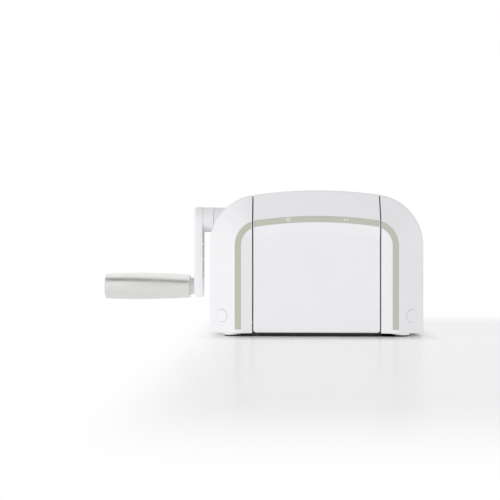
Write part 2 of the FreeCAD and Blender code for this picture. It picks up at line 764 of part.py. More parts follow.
def roller(name, left_end, z):
    return node(turned(name, [
        (f"-{left_end}", 0), (f"-{left_end}", "journal_radius"), (f"-{roller_x}", "journal_radius"),
        (f"-{roller_x}", "roller_radius"), (roller_x, "roller_radius"), (roller_x, "journal_radius"),
        (upper_end, "journal_radius"), (upper_end, 0),
    ], z))


def clip(name, near, sign, z, inner="journal_radius"):
    return ring(name, side_span(sign, f"({near} + clip_gap)", f"({near} + clip_gap + clip_thick)"),
                f"{inner} + key_slack", f"{inner} + clip_wide", z)


def flanged_bush(name, z):
    return turned(name, [
        (f"-{panel_out}", "journal_radius + running_slack"), (f"-{panel_out}", bush_radius),
        (f"-{frame_out}", bush_radius), (f"-{frame_out}", f"{bush_radius} + bush_lip"),
        (f"-{flange_out}", f"{bush_radius} + bush_lip"),
        (f"-{flange_out}", "journal_radius + running_slack"),
    ], z)


roller("upper_roller", upper_end, high_z)
roller("lower_roller", short_end, low_z)
low_bushes = pair(flanged_bush("low_bush", low_z), "x")
high_bushes = pair(flanged_bush("high_bush", high_z), "x")
node(group("roller_bushes", low_bushes + high_bushes))
node(group("upper_roller_clips", [clip("high_clip_left", gear_two_out, -1, high_z),
                                  clip("high_clip_right", gear_two_out, 1, high_z)]))
node(group("lower_roller_clips", [clip("low_clip_left", flange_out, -1, low_z),
                                  clip("low_clip_right", gear_two_out, 1, low_z)]))
gear_turn = FreeCAD.Rotation(FreeCAD.Vector(1, 1, 1), 120)


# A spur gear along X: each flank is an arc through three points of its involute.
# first is the angle of one tooth's middle, measured from +Y towards +Z.
def gear(name, teeth, module, width, bore, first, x, z):
    teeth = int(teeth)
    pitch = teeth * module / 2
    base = pitch * math.cos(math.radians(20))
    root = pitch - 1.25 * module
    tip = pitch + 0.9 * module
    start = max(base, root)

    def involute(radius):
        angle = math.acos(min(1, base / radius))
        return math.tan(angle) - angle

    middle = math.pi / (2 * teeth) - size["backlash"] / (4 * pitch) + involute(pitch)

    def point(radius, angle):
        return FreeCAD.Vector(radius * math.cos(angle), radius * math.sin(angle), 0)

    edges = []
    for tooth in range(teeth):
        axis = math.radians(first) + 2 * math.pi * tooth / teeth
        after = axis + 2 * math.pi / teeth
        radii = (start, (start + tip) / 2, tip)
        spread = [middle - involute(radius) for radius in radii]
        rise = [point(radius, axis - angle) for radius, angle in zip(radii, spread)]
        fall = [point(radius, axis + angle) for radius, angle in zip(radii, spread)][::-1]
        foot = point(root, axis - spread[0])
        heel = point(root, axis + spread[0])
        if start > root:
            edges.append(Part.LineSegment(foot, rise[0]))
        edges.append(Part.Arc(*rise))
        edges.append(Part.Arc(rise[2], point(tip, axis), fall[0]))
        edges.append(Part.Arc(*fall))
        if start > root:
            edges.append(Part.LineSegment(fall[2], heel))
        edges.append(Part.Arc(heel, point(root, (axis + after) / 2), point(root, after - spread[0])))
    outline = Part.Wire([edge.toShape() for edge in edges])
    blank = Part.Face(outline).extrude(FreeCAD.Vector(0, 0, width))
    piece = doc.addObject("Part::Feature", name)
    piece.Shape = blank.cut(Part.makeCylinder(bore, width))
    piece.Placement = FreeCAD.Placement(FreeCAD.Vector(), gear_turn)
    piece.setExpression("Placement.Base.x", formula(x))
    piece.setExpression("Placement.Base.z", formula(z))
    return piece


keyed = size["journal_radius"] + size["key_slack"]
wide_one = size["gear_one_wide"]
wide_two = size["gear_two_wide"]
sync_module = (2 * size["roller_radius"] + size["nip"]) / size["sync_teeth"]
loose = size["axle_radius"] + size["running_slack"]


def facing_up(teeth):
    return 90 + 180 / size[teeth]


def hub_ring(name, x, inner, z):
    return ring(name, x, inner, f"({inner} + gear_hub)", z)


near_two = (f"-{gear_two_in}", f"-({flange_out} + clip_gap)")
far_two = (f"{flange_out} + clip_gap", gear_two_in)
node(gear("crank_pinion", size["pinion_teeth"], size["module_one"], wide_one, keyed, -90,
          f"-{gear_one_out}", crank_z))
node(gear("idler_gear_large", size["idler_large_teeth"], size["module_one"], wide_one, loose,
          facing_up("idler_large_teeth"), f"-{gear_one_out}", idler_z))
idler_bore = "(axle_radius + running_slack)"
node(fuse("idler_gear_small", [
    gear("idler_small_teeth_ring", size["idler_small_teeth"], size["module_two"], wide_two, loose, -90,
         f"-{gear_two_out}", idler_z),
    hub_ring("idler_hub_out", (f"-{gear_one_in}", f"-{gear_two_out}"), idler_bore, idler_z),
    hub_ring("idler_hub_in", (f"-{gear_two_in}", f"-({frame_out} + clip_gap)"), idler_bore, idler_z),
]))
journal_bore = "(journal_radius + key_slack)"
node(fuse("upper_roller_gear", [
    gear("roller_teeth_ring", size["roller_teeth"], size["module_two"], wide_two, keyed,
         facing_up("roller_teeth"), f"-{gear_two_out}", high_z),
    hub_ring("roller_gear_hub", near_two, journal_bore, high_z),
]))
sync_gears = (("upper_sync_gear", -90, high_z), ("lower_sync_gear", facing_up("sync_teeth"), low_z))
for name, first, z in sync_gears:
    node(fuse(name, [
        gear(f"{name}_ring", size["sync_teeth"], sync_module, wide_two, keyed, first, gear_two_in, z),
        hub_ring(f"{name}_hub", far_two, journal_bore, z),
    ]))
axle_end = f"({gear_one_out} + clip_gap + 2 * clip_thick)"
node(rod("idler_axle", "axle_radius", (f"-{axle_end}", f"-{panel_out}"), (0, idler_z)))
node(clip("idler_clip", gear_one_out, -1, idler_z, "axle_radius"))

# Crank: the shaft turns in two bushes and carries the pinion, the hub and the arm.
bolt_seat = f"({arm_out} - bolt_sink)"
shaft_end = f"({bolt_seat} - arm_rim)"
bolt_deep = f"({shaft_end} - 5 * screw_radius)"
bolt_radius = "(journal_radius / 2)"
node(turned("crank_shaft", [
    (f"-({panel_out} + clip_gap)", 0), (f"-({panel_out} + clip_gap)", "journal_radius"),
    (f"-{shaft_end}", "journal_radius"), (f"-{shaft_end}", f"{bolt_radius} + screw_slack"),
    (f"-{bolt_deep}", f"{bolt_radius} + screw_slack"), (f"-{bolt_deep}", 0),
], crank_z))
node(group("crank_shaft_bushes", [
    flanged_bush("crank_frame_bush", crank_z),
    ring("crank_cover_bush", (f"-{boss_end}", f"-{boss_root}"), "journal_radius + running_slack",
         bush_radius, crank_z),
]))
node(ring("crank_clip", (f"-{boss_root} + clip_gap", f"-{boss_root} + clip_gap + clip_thick"),
          "journal_radius + key_slack", "journal_radius + clip_wide", crank_z))
node(ring("crank_hub", (f"-{arm_in}", f"-{hub_in}"), journal_bore, "hub_radius", crank_z))


# The arm's outline: two round ends joined by straight tangents, thickened along X.
def arm_block(name, inset, x, rounded=False):
    body = doc.addObject("PartDesign::Body", name)
    sketch = on_plane(body, f"{name}_outline", "YZ_Plane", x[0])
    low = shaft_height - size["crank_reach"]
    big = size["arm_top_radius"]
    small = size["arm_low_radius"]
    upper_ring = Part.Circle(FreeCAD.Vector(0, shaft_height, 0), upward, big)
    lower_ring = Part.Circle(FreeCAD.Vector(0, low, 0), upward, small)
    across = FreeCAD.Vector(1, 0, 0)
    sketch.addGeometry(Part.ArcOfCircle(upper_ring, 0, math.pi))
    sketch.addGeometry(Part.LineSegment(upper_ring.Center - across * big,
                                        lower_ring.Center - across * small))
    sketch.addGeometry(Part.ArcOfCircle(lower_ring, math.pi, 2 * math.pi))
    sketch.addGeometry(Part.LineSegment(lower_ring.Center + across * small,
                                        upper_ring.Center + across * big))
    for edge in range(4):
        sketch.addConstraint(Sketcher.Constraint("Tangent", edge, 2, (edge + 1) % 4, 1))
    sketch.addConstraint(Sketcher.Constraint("PointOnObject", 0, 3, -2))
    sketch.addConstraint(Sketcher.Constraint("PointOnObject", 2, 3, -2))
    hold(sketch, "high", crank_z, "DistanceY", 0, 3, shaft_height)
    hold(sketch, "low", grip_z, "DistanceY", 2, 3, low)
    hold(sketch, "big", f"arm_top_radius - {inset}", "Radius", 0, big)
    hold(sketch, "small", f"arm_low_radius - {inset}", "Radius", 2, small)
    pad = body.newObject("PartDesign::Pad", f"{name}_pad")
    pad.Profile = sketch
    pad.setExpression("Length", formula(f"({x[1]}) - ({x[0]})"))
    if rounded:
        doc.recompute()
        outer = [f"Edge{index}" for index, edge in enumerate(pad.Shape.Edges, start=1)
                 if edge.BoundBox.XMax < pad.Shape.BoundBox.XMin + 1e-4]
        soft = body.newObject("PartDesign::Fillet", f"{name}_round")
        soft.Base = (pad, outer)
        soft.setExpression("Radius", formula("arm_round"))
    return body


web_in = f"({arm_in} + arm_recess)"
arm_blank = arm_block("arm_blank", "0", (f"-{arm_out}", f"-{arm_in}"), rounded=True)
arm_hollow = arm_block("arm_hollow", "arm_rim", (f"-{web_in}", f"-{arm_in}"))
spindle_seat = f"({arm_in} + arm_rim)"
arm_through = (f"-({pad_end} + wall)", f"-{arm_in}")
recess_x = (f"-{web_in}", f"-{arm_in}")
arm_solids = [
    cut("arm_channel", arm_blank, [arm_hollow]),
    rod("arm_hub_boss", "hub_radius - arm_rim / 2", recess_x, (0, crank_z)),
    rod("arm_spindle_boss", "arm_low_radius - arm_rim / 2", recess_x, (0, grip_z)),
    rod("arm_grip_pad", "arm_pad_radius", (f"-{pad_end}", f"-{web_in}"), (0, grip_z)),
]
for rib in ("rib_drop_high", "rib_drop_low"):
    level = f"({crank_z} - {rib})"
    rib_box = box(f"{rib}_box", recess_x, everywhere,
                  (f"{level} - arm_rim / 2", f"{level} + arm_rim / 2"))
    arm_solids.append(common(f"{rib}_web", [arm_hollow, rib_box]))
node(cut("crank_arm", fuse("arm_solid", arm_solids), [
    rod("arm_shaft_hole", journal_bore, (f"-{shaft_end}", 0), (0, crank_z)),
    rod("arm_bolt_hole", f"{bolt_radius} + screw_slack", arm_through, (0, crank_z)),
    rod("arm_bolt_well", "journal_radius + 5 * screw_slack", (f"-{pad_end}", f"-{bolt_seat}"),
        (0, crank_z)),
    rod("arm_spindle_hole", "spindle_radius + key_slack", arm_through, (0, grip_z)),
    rod("arm_spindle_well", "spindle_head + key_slack", (f"-{spindle_seat}", 0), (0, grip_z)),
]))
node(fuse("crank_bolt", [
    rod("crank_bolt_head", "journal_radius", (f"-({bolt_seat} + 2 * head_high)", f"-{bolt_seat}"),
        (0, crank_z)),
    rod("crank_bolt_shank", bolt_radius, (f"-{bolt_seat}", f"-({bolt_deep} + screw_slack)"),
        (0, crank_z)),
]))

# Grip: a barrel on two plain bushes that turns freely on the spindle.
spindle_end = f"({grip_end} - grip_cap_thick - hub_gap)"
node(turned("grip_spindle", [
    (f"-{arm_in}", 0), (f"-{arm_in}", "spindle_head"),
    (f"-{spindle_seat}", "spindle_head"), (f"-{spindle_seat}", "spindle_radius"),
    (f"-{spindle_end}", "spindle_radius"), (f"-{spindle_end}", 0),
], grip_z))
node(ring("grip_washer", (f"-({grip_start} - hub_gap)", f"-{pad_end}"), "spindle_radius + key_slack",
          "washer_radius", grip_z))
barrel = doc.addObject("PartDesign::Body", "grip_barrel")
barrel_sketch = on_plane(barrel, "grip_profile", "XZ_Plane", 0)
near = -size["grip_length"]
far = near - size["grip_length"]
bow = size["grip_length"] ** 2 / (8 * size["grip_sag"]) + size["grip_sag"] / 2
sweep = math.asin(size["grip_length"] / 2 / bow)
near_r = size["grip_near_radius"]
far_r = size["grip_far_radius"]
bore_r = size["grip_bore"]
bow_middle = FreeCAD.Vector((near + far) / 2, (near_r + far_r) / 2 + size["grip_sag"] - bow, 0)
near_bore, near_rim = FreeCAD.Vector(near, bore_r, 0), FreeCAD.Vector(near, near_r, 0)
far_rim, far_bore = FreeCAD.Vector(far, far_r, 0), FreeCAD.Vector(far, bore_r, 0)
barrel_sketch.addGeometry(Part.LineSegment(near_bore, near_rim))
barrel_sketch.addGeometry(Part.ArcOfCircle(Part.Circle(bow_middle, upward, bow),
                                           math.pi / 2 - sweep, math.pi / 2 + sweep))
barrel_sketch.addGeometry(Part.LineSegment(far_rim, far_bore))
barrel_sketch.addGeometry(Part.LineSegment(far_bore, near_bore))
for edge in range(4):
    barrel_sketch.addConstraint(Sketcher.Constraint("Coincident", edge, 2, (edge + 1) % 4, 1))
hold(barrel_sketch, "near_x", f"-{grip_start}", "DistanceX", 0, 1, near)
hold(barrel_sketch, "near_bore", "grip_bore", "DistanceY", 0, 1, bore_r)
hold(barrel_sketch, "near_rim_x", f"-{grip_start}", "DistanceX", 0, 2, near)
hold(barrel_sketch, "near_rim", "grip_near_radius", "DistanceY", 0, 2, near_r)
hold(barrel_sketch, "far_rim_x", f"-{grip_end}", "DistanceX", 2, 1, far)
hold(barrel_sketch, "far_rim", "grip_far_radius", "DistanceY", 2, 1, far_r)
hold(barrel_sketch, "far_x", f"-{grip_end}", "DistanceX", 2, 2, far)
hold(barrel_sketch, "far_bore", "grip_bore", "DistanceY", 2, 2, bore_r)
hold(barrel_sketch, "bow", "grip_length ^ 2 / (8 * grip_sag) + grip_sag / 2", "Radius", 1, bow)
barrel_turn = barrel.newObject("PartDesign::Revolution", "grip_turn")
barrel_turn.Profile = barrel_sketch
barrel_turn.ReferenceAxis = (barrel_sketch, ["H_Axis"])
barrel_turn.Angle = 360
doc.recompute()
rims = [f"Edge{index}" for index, edge in enumerate(barrel_turn.Shape.Edges, start=1)
        if edge.BoundBox.XLength < 1e-6 and edge.BoundBox.ZLength > 2 * bore_r + 1e-4]
barrel_round = barrel.newObject("PartDesign::Fillet", "grip_round_edges")
barrel_round.Base = (barrel_turn, rims)
barrel_round.setExpression("Radius", formula("grip_round"))
barrel.setExpression("Placement.Base.z", formula(grip_z))
cap_in = f"({grip_end} - grip_cap_thick)"
node(cut("grip_sleeve", barrel, [
    rod("grip_cap_seat", "grip_cap + key_slack", (f"-({grip_end} + wall)", f"-{cap_in}"), (0, grip_z)),
]))
node(rod("grip_end_cap", "grip_cap", (f"-{grip_end}", f"-{cap_in}"), (0, grip_z)))
bush_long = "(2 * spindle_radius)"
grip_bush_radii = ("spindle_radius + running_slack", "grip_bore - key_slack")
node(group("grip_bushes", [
    ring("grip_bush_near", (f"-({grip_start} + {bush_long})", f"-{grip_start}"),
         *grip_bush_radii, grip_z),
    ring("grip_bush_far", (f"-({spindle_end} - hub_gap)", f"-({spindle_end} - hub_gap - {bush_long})"),
         *grip_bush_radii, grip_z),
]))

# Front tray: a door shell, its feed deck, hinge pins and magnets. The rear tray is its mirror.
pin_root = f"({tray_x} - pin_grip)"
tray_span = (f"-{tray_x}", tray_x)
tray_blank = common("tray_blank", [hull, box("tray_box", tray_span, (f"-{front}", f"-{deck_out}"),
                                             ("tray_bottom", beyond))])
tray_room_x = f"({tray_x} - tray_wall)"
tray_room = common("tray_room", [cavity, box("tray_room_box", (f"-{tray_room_x}", tray_room_x),
                                             (f"-{front}", 0), ("tray_bottom + tray_wall", beyond))])
heel_box = box("tray_heel_box", everywhere, (f"-{front} - wall", f"-{hinge_y}"), ("-wall", hinge_z))
heel_rod = rod("tray_heel_rod", f"{hinge_z} - heel_clearance", everywhere, (f"-{hinge_y}", hinge_z))
heel = cut("tray_heel", heel_box, [heel_rod])
corner_x = f"({tray_x} - tray_corner)"
corner_z = "(tray_bottom + tray_corner)"
corner_box = box("tray_corner_box", (f"-{tray_x} - wall", f"-{corner_x}"), everywhere,
                 ("-wall", corner_z))
corner_rod = rod("tray_corner_rod", "tray_corner", everywhere, (f"-{corner_x}", corner_z), "y")
corners = pair(cut("tray_corner_cut", corner_box, [corner_rod]), "x")
tray_bosses = pair(rod("tray_hinge_boss", "hinge_boss", (f"-({tray_x} - tray_wall / 2)", f"-{pin_root}"),
                       (f"-{hinge_y}", hinge_z)), "x")
tray_screw_holes = []
tray_screws = []
tray_screw_levels = (("low", f"{hinge_z} + tray_screw_rise"), ("high", f"{body_top} - tray_screw_drop"))
for level, height in tray_screw_levels:
    at = (f"-({tray_x} - tray_screw_inset)", height)
    tray_bosses += pair(rod(f"tray_{level}_boss", "3 * small_screw",
                            (f"-({inner_front} + wall / 2)", f"-{deck_out}"), at, "y"), "x")
    tray_screw_holes += pair(rod(f"tray_{level}_hole", small_hole,
                                 (f"-({deck_out} + 5 * small_screw)", 0), at, "y"), "x")
    tray_screw_holes += pair(rod(f"tray_{level}_well", "screw_head + screw_slack",
                                 (f"-({deck_in} + head_high)", 0), at, "y"), "x")
    tray_screws += pair(screw(f"tray_{level}_screw", (f"-({deck_in} + head_high)", f"-{deck_in}"),
                              (f"-({deck_out} + 4 * small_screw)", f"-({deck_in} + head_high)"),
                              at, "y"), "x")
pin_bores = pair(rod("tray_pin_bore", "pin_radius + key_slack", (f"-{panel_in}", f"-{pin_root}"),
                     (f"-{hinge_y}", hinge_z)), "x")
tray_pan = cut("tray_pan", tray_blank, [tray_room, heel, *corners])
tray_solid = fuse("tray_solid", [tray_pan, *tray_bosses])
shell = cut("front_tray_shell", tray_solid, pin_bores + tray_screw_holes)
magnet_y = (f"-({deck_in} + magnet_thick)", f"-{deck_in}")
magnet_at = (f"-{magnet_x}", magnet_z)
magnets = pair(rod("tray_magnet", "magnet_radius", magnet_y, magnet_at, "y"), "x")
magnet_wells = pair(rod("tray_magnet_well", "magnet_radius + key_slack", magnet_y, magnet_at, "y"), "x")
deck_blank = common("deck_blank", [block, box("deck_box", tray_span, (f"-{deck_out}", f"-{deck_in}"),
                                              ("tray_bottom", beyond))])
stripe_box = box("tray_stripe_box", tray_span, everywhere, everywhere)
tray = [
    shell,
    cut("front_tray_deck", deck_blank, tray_screw_holes + magnet_wells + corners),
    common("front_tray_stripe", [front_stripe, stripe_box]),
    group("front_tray_pins", pair(rod("tray_pin", "pin_radius",
                                      (f"-({frame_out} + pin_past)", f"-{pin_root}"),
                                      (f"-{hinge_y}", hinge_z)), "x")),
    group("front_tray_magnets", magnets),
    group("front_tray_screws", tray_screws),
]
for piece in tray:
    node(piece)
    node(mirror(piece.Name.replace("front", "rear"), piece, "y"))

# Each node is set so that the origin lies under the middle of the whole machine, crank included.
placed = []
for piece in nodes:
    whole = group(f"{piece.Name}_placed", [piece])
    whole.setExpression("Placement.Base.x", formula(f"({grip_end} - {half}) / 2"))
    piece.Label = f"{piece.Name}_shape"
    whole.Label = piece.Name
    placed.append(whole)

doc.recompute()
faults = [item.Name for item in doc.Objects if "Invalid" in item.State or "Error" in item.State]
faults += [whole.Label for whole in placed if whole.Shape.isNull() or not whole.Shape.isValid()]
if faults:
    raise RuntimeError("pieces that failed: " + ", ".join(faults))
os.makedirs("parts", exist_ok=True)
for whole in placed:
    whole.Shape.exportStep(f"parts/{whole.Label}.step")
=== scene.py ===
import bpy
import json
import math
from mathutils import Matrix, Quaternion, Vector


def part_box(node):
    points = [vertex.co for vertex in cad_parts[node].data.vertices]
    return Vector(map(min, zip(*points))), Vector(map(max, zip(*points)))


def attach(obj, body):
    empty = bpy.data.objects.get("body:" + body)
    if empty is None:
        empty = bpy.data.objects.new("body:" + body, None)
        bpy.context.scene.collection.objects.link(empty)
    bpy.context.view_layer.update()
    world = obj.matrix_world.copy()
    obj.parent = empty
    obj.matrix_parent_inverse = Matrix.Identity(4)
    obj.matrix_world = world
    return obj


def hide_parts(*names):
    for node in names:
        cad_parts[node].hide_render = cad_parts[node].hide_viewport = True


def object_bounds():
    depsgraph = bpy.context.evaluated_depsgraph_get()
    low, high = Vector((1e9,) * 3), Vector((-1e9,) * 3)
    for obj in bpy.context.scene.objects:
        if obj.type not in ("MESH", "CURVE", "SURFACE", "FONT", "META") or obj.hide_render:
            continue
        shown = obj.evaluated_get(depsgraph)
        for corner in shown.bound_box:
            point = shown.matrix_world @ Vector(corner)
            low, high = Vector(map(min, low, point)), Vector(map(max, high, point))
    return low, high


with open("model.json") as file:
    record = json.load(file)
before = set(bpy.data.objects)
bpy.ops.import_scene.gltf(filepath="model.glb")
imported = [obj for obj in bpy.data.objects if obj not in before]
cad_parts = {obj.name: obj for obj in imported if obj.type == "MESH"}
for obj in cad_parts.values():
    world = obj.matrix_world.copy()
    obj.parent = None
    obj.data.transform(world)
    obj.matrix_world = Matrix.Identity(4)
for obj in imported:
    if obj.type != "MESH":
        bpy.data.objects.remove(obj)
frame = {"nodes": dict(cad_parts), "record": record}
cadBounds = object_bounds()
nodes = frame["nodes"]
bodyBox = (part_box("left_outer_cover")[0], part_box("right_outer_cover")[1])  # both housings together
middle = (bodyBox[0].x + bodyBox[1].x) / 2
print("frame loaded,", len(nodes), "nodes, body middle at x", round(middle, 4))


class Wire:  # one shader socket, so that sums can be written as sums
    def __init__(self, tree, socket=None):
        self.tree = tree
        self.socket = socket

    def node(self, kind, settings=None, inputs=None, output=0):
        made = self.tree.nodes.new(kind)
        for name, value in (settings or {}).items():
            setattr(made, name, value)
        for name, value in (inputs or {}).items():
            if isinstance(value, Wire):
                self.tree.links.new(value.socket, made.inputs[name])
            else:
                made.inputs[name].default_value = value
        return Wire(self.tree, made.outputs[output])

    def maths(self, operation, first, second):
        return self.node("ShaderNodeMath", {"operation": operation}, {0: first, 1: second})

    def vector(self, operation, first, second=(0, 0, 0)):
        output = "Value" if operation in ("DOT_PRODUCT", "LENGTH") else "Vector"
        inputs = {0: first, 1: second}
        return self.node("ShaderNodeVectorMath", {"operation": operation}, inputs, output)

    def __add__(self, other):
        return self.maths("ADD", self, other)

    def __radd__(self, other):
        return self.maths("ADD", other, self)

    def __sub__(self, other):
        return self.maths("SUBTRACT", self, other)

    def __rsub__(self, other):
        return self.maths("SUBTRACT", other, self)

    def __mul__(self, other):
        return self.maths("MULTIPLY", self, other)

    def __rmul__(self, other):
        return self.maths("MULTIPLY", other, self)

    def __lt__(self, other):
        return self.maths("LESS_THAN", self, other)

    def __gt__(self, other):
        return self.maths("GREATER_THAN", self, other)


# a new material, with the values that don't change over its surface
def startFinish(name, **fixed):
    finish = bpy.data.materials.new(name)
    finish.use_nodes = True
    shader = finish.node_tree.nodes["Principled BSDF"]
    for socket, value in fixed.items():
        shader.inputs[socket.replace("_", " ")].default_value = value
    return finish, Wire(finish.node_tree), shader


def feed(shader, socket, wire):
    wire.tree.links.new(wire.socket, shader.inputs[socket])


def placeOn(wire):  # the place on the piece, in metres
    return wire.node("ShaderNodeTexCoord", output="Object")


def along(wire, place, axis):  # one part of a place
    return wire.node("ShaderNodeSeparateXYZ", None, {0: place}, output=axis)


# noise in real metres, drawn out where stretch says so
def grain(wire, scale, detail, stretch=None):
    at = placeOn(wire)
    if stretch:
        at = wire.node("ShaderNodeMapping", None, {"Vector": at, "Scale": stretch})
    return wire.node("ShaderNodeTexNoise", None, {"Vector": at, "Scale": scale, "Detail": detail})


noiseRange = (0.3, 0.7)  # where nearly all of a noise's values lie


# the first value at the start, the last at the end
def between(wire, value, start, end, first, last, easing="LINEAR"):
    inputs = {"Value": value, "From Min": start, "From Max": end, "To Min": first, "To Max": last}
    return wire.node("ShaderNodeMapRange", {"interpolation_type": easing}, inputs)


def spread(wire, noise, low, high):  # a noise value stretched to its own full range
    return between(wire, noise, *noiseRange, low, high)


def ease(wire, value, start, end, first, last):  # a soft change, level at both ends
    return between(wire, value, start, end, first, last, "SMOOTHSTEP")


def blendColour(wire, amount, first, second):
    inputs = {0: amount, 6: first, 7: second}  # the Mix node's colour sockets
    return wire.node("ShaderNodeMix", {"data_type": "RGBA"}, inputs, output=2)


def softEdge(wire, radius):  # the normal of a slightly rounded edge, and how near the edge is
    rounded = wire.node("ShaderNodeBevel", {"samples": 4}, {"Radius": radius})
    flat = wire.node("ShaderNodeNewGeometry", output="Normal")
    return rounded, 1 - wire.vector("DOT_PRODUCT", rounded, flat)


def bumpOn(wire, height, normal, depth, strength):
    return wire.node("ShaderNodeBump", None,
                     {"Strength": strength, "Distance": depth, "Height": height, "Normal": normal})


finishes = {}

# in these looks a noise is its scale, detail and any stretch, and a bump is its depth and strength
shellLook = {"colour": (0.905, 0.91, 0.928, 1), "aged": (0.868, 0.872, 0.884, 1),
             "rubbedAndHighlit": (0.97, 0.972, 0.98, 1), "ior": 1.5, "rough": (0.30, 0.40),
             "edge": 0.0008, "rubAndHighlight": 2.5, "rubSmoother": 0.1,
             "haze": (22.0, 4.0), "hazeMost": 0.5, "smear": (90.0, 5.0, (1, 1, 3)),
             "spark": (2600.0, 2.0), "sparkBump": (0.00002, 0.35)}


# satin white moulding: fine spark texture, faint handling haze, edges brighter from rubbed wear and a
# painted highlight
def paintShell(look):
    finish, wire, shader = startFinish("satinWhiteShell", IOR=look["ior"])
    normal, edge = softEdge(wire, look["edge"])
    haze = spread(wire, grain(wire, *look["haze"]), 0.0, look["hazeMost"])
    smear = spread(wire, grain(wire, *look["smear"]), *look["rough"])
    colour = blendColour(wire, haze, look["colour"], look["aged"])
    # edges brighter: partly rubbed wear, partly a painted highlight
    colour = blendColour(wire, edge * look["rubAndHighlight"], colour, look["rubbedAndHighlit"])
    feed(shader, "Base Color", colour)
    feed(shader, "Roughness", smear - edge * look["rubSmoother"])
    feed(shader, "Normal", bumpOn(wire, grain(wire, *look["spark"]), normal, *look["sparkBump"]))
    return finish


finishes["white_shell"] = paintShell(shellLook)

stripeLook = {"colour": (0.54, 0.535, 0.455, 1), "fleck": (0.61, 0.605, 0.525, 1), "ior": 1.48,
              "edge": 0.0003, "edgeFleck": 0.5, "speckle": (1900.0, 2.0), "speckleMost": 0.55,
              "cloud": (60.0, 4.0), "rough": (0.38, 0.5),
              "spark": (3000.0, 2.0), "sparkBump": (0.00002, 0.3), "mark": (0.86, 0.86, 0.85, 1),
              "ringAt": (-0.0359, 0.1490), "ringOut": 0.0025, "ringIn": 0.0014,
              "dotsAt": ((0.0354, 0.1484), (0.0391, 0.1484)), "dotSize": 0.0011}


# satin inlay with fine fleck, and a printed ring and two dots above the door
def paintStripe(look):
    finish, wire, shader = startFinish("satinStripe", IOR=look["ior"])
    normal, edge = softEdge(wire, look["edge"])
    at = placeOn(wire)
    speckle = spread(wire, grain(wire, *look["speckle"]), 0.0, look["speckleMost"])
    colour = blendColour(wire, speckle, look["colour"], look["fleck"])
    colour = blendColour(wire, edge * look["edgeFleck"], colour, look["fleck"])

    def apart(x, z):  # distance on the front face from a printed mark's middle
        return wire.vector("LENGTH", wire.vector("SUBTRACT", at, (middle + x, cadBounds[0][1], z)))

    fromRing = apart(*look["ringAt"])
    printed = (fromRing < look["ringOut"]) * (fromRing > look["ringIn"])
    for place in look["dotsAt"]:
        printed = printed + (apart(*place) < look["dotSize"])
    feed(shader, "Base Color", blendColour(wire, printed, colour, look["mark"]))
    feed(shader, "Roughness", spread(wire, grain(wire, *look["cloud"]), *look["rough"]))
    feed(shader, "Normal", bumpOn(wire, grain(wire, *look["spark"]), normal, *look["sparkBump"]))
    return finish


finishes["stripe"] = paintStripe(stripeLook)

innerLook = {"colour": (0.80, 0.80, 0.81, 1), "worn": (0.72, 0.72, 0.73, 1), "ior": 1.5,
             "edge": 0.0005, "edgeWorn": 0.2, "scuff": (160.0, 6.0, (6, 1, 1)), "scuffMost": 0.5,
             "rough": (0.48, 0.6), "spark": (1500.0, 3.0), "sparkBump": (0.00005, 0.5)}


# matt moulding with a coarser spark texture and long scuffs in the feed direction
def paintInner(look):
    finish, wire, shader = startFinish("mattInnerMoulding", IOR=look["ior"])
    normal, edge = softEdge(wire, look["edge"])
    scuff = grain(wire, *look["scuff"])
    worn = spread(wire, scuff, 0.0, look["scuffMost"]) + edge * look["edgeWorn"]
    feed(shader, "Base Color", blendColour(wire, worn, look["colour"], look["worn"]))
    feed(shader, "Roughness", spread(wire, scuff, *look["rough"]))
    feed(shader, "Normal", bumpOn(wire, grain(wire, *look["spark"]), normal, *look["sparkBump"]))
    return finish


finishes["inner_plastic"] = paintInner(innerLook)

everyMetal = {"edge": 0.0003, "patch": (60.0, 5.0), "patchRough": (-0.03, 0.05),
              "patchMost": 0.55, "lineMost": 0.3}
metalLooks = {
    "frame_steel": {"name": "zincSheet", "rough": (0.34, 0.5),
                    "colour": (0.55, 0.56, 0.57, 1), "dark": (0.42, 0.43, 0.45, 1),
                    "lines": (300.0, 4.0, (1, 1, 0.15)), "lineBump": (0.00003, 0.5)},
    "bright_steel": {"name": "groundSteel", "rough": (0.18, 0.3),
                     "colour": (0.66, 0.66, 0.66, 1), "dark": (0.54, 0.54, 0.55, 1),
                     "lines": (900.0, 4.0, (6, 0.3, 0.3)), "lineBump": (0.00001, 0.5)},
    "gear_steel": {"name": "oiledGearSteel", "rough": (0.26, 0.42),
                   "colour": (0.50, 0.50, 0.51, 1), "dark": (0.30, 0.29, 0.27, 1),
                   "lines": (220.0, 4.0), "lineBump": (0.00002, 0.5)},
    "fastener": {"name": "zincFastener", "rough": (0.28, 0.42),
                 "colour": (0.60, 0.61, 0.63, 1), "dark": (0.47, 0.47, 0.46, 1),
                 "lines": (700.0, 4.0), "lineBump": (0.00001, 0.5)},
    "bush": {"name": "sinteredBronze", "rough": (0.42, 0.56),
             "colour": (0.62, 0.43, 0.21, 1), "dark": (0.38, 0.24, 0.11, 1),
             "lines": (1800.0, 4.0), "lineBump": (0.00003, 0.5)},
    "grip_metal": {"name": "satinTurnedAluminium", "rough": (0.30, 0.35),
                   "colour": (0.85, 0.845, 0.825, 1), "dark": (0.77, 0.765, 0.745, 1),
                   "lines": (1500.0, 4.0, (4, 0.06, 0.06)), "lineBump": (0.000004, 0.5),
                   "patchMost": 0.2, "lineMost": 0.15},
    "magnet": {"name": "nickelPlate", "rough": (0.12, 0.24),
               "colour": (0.72, 0.70, 0.67, 1), "dark": (0.60, 0.58, 0.55, 1),
               "lines": (500.0, 4.0), "lineBump": (0.00001, 0.5)},
}


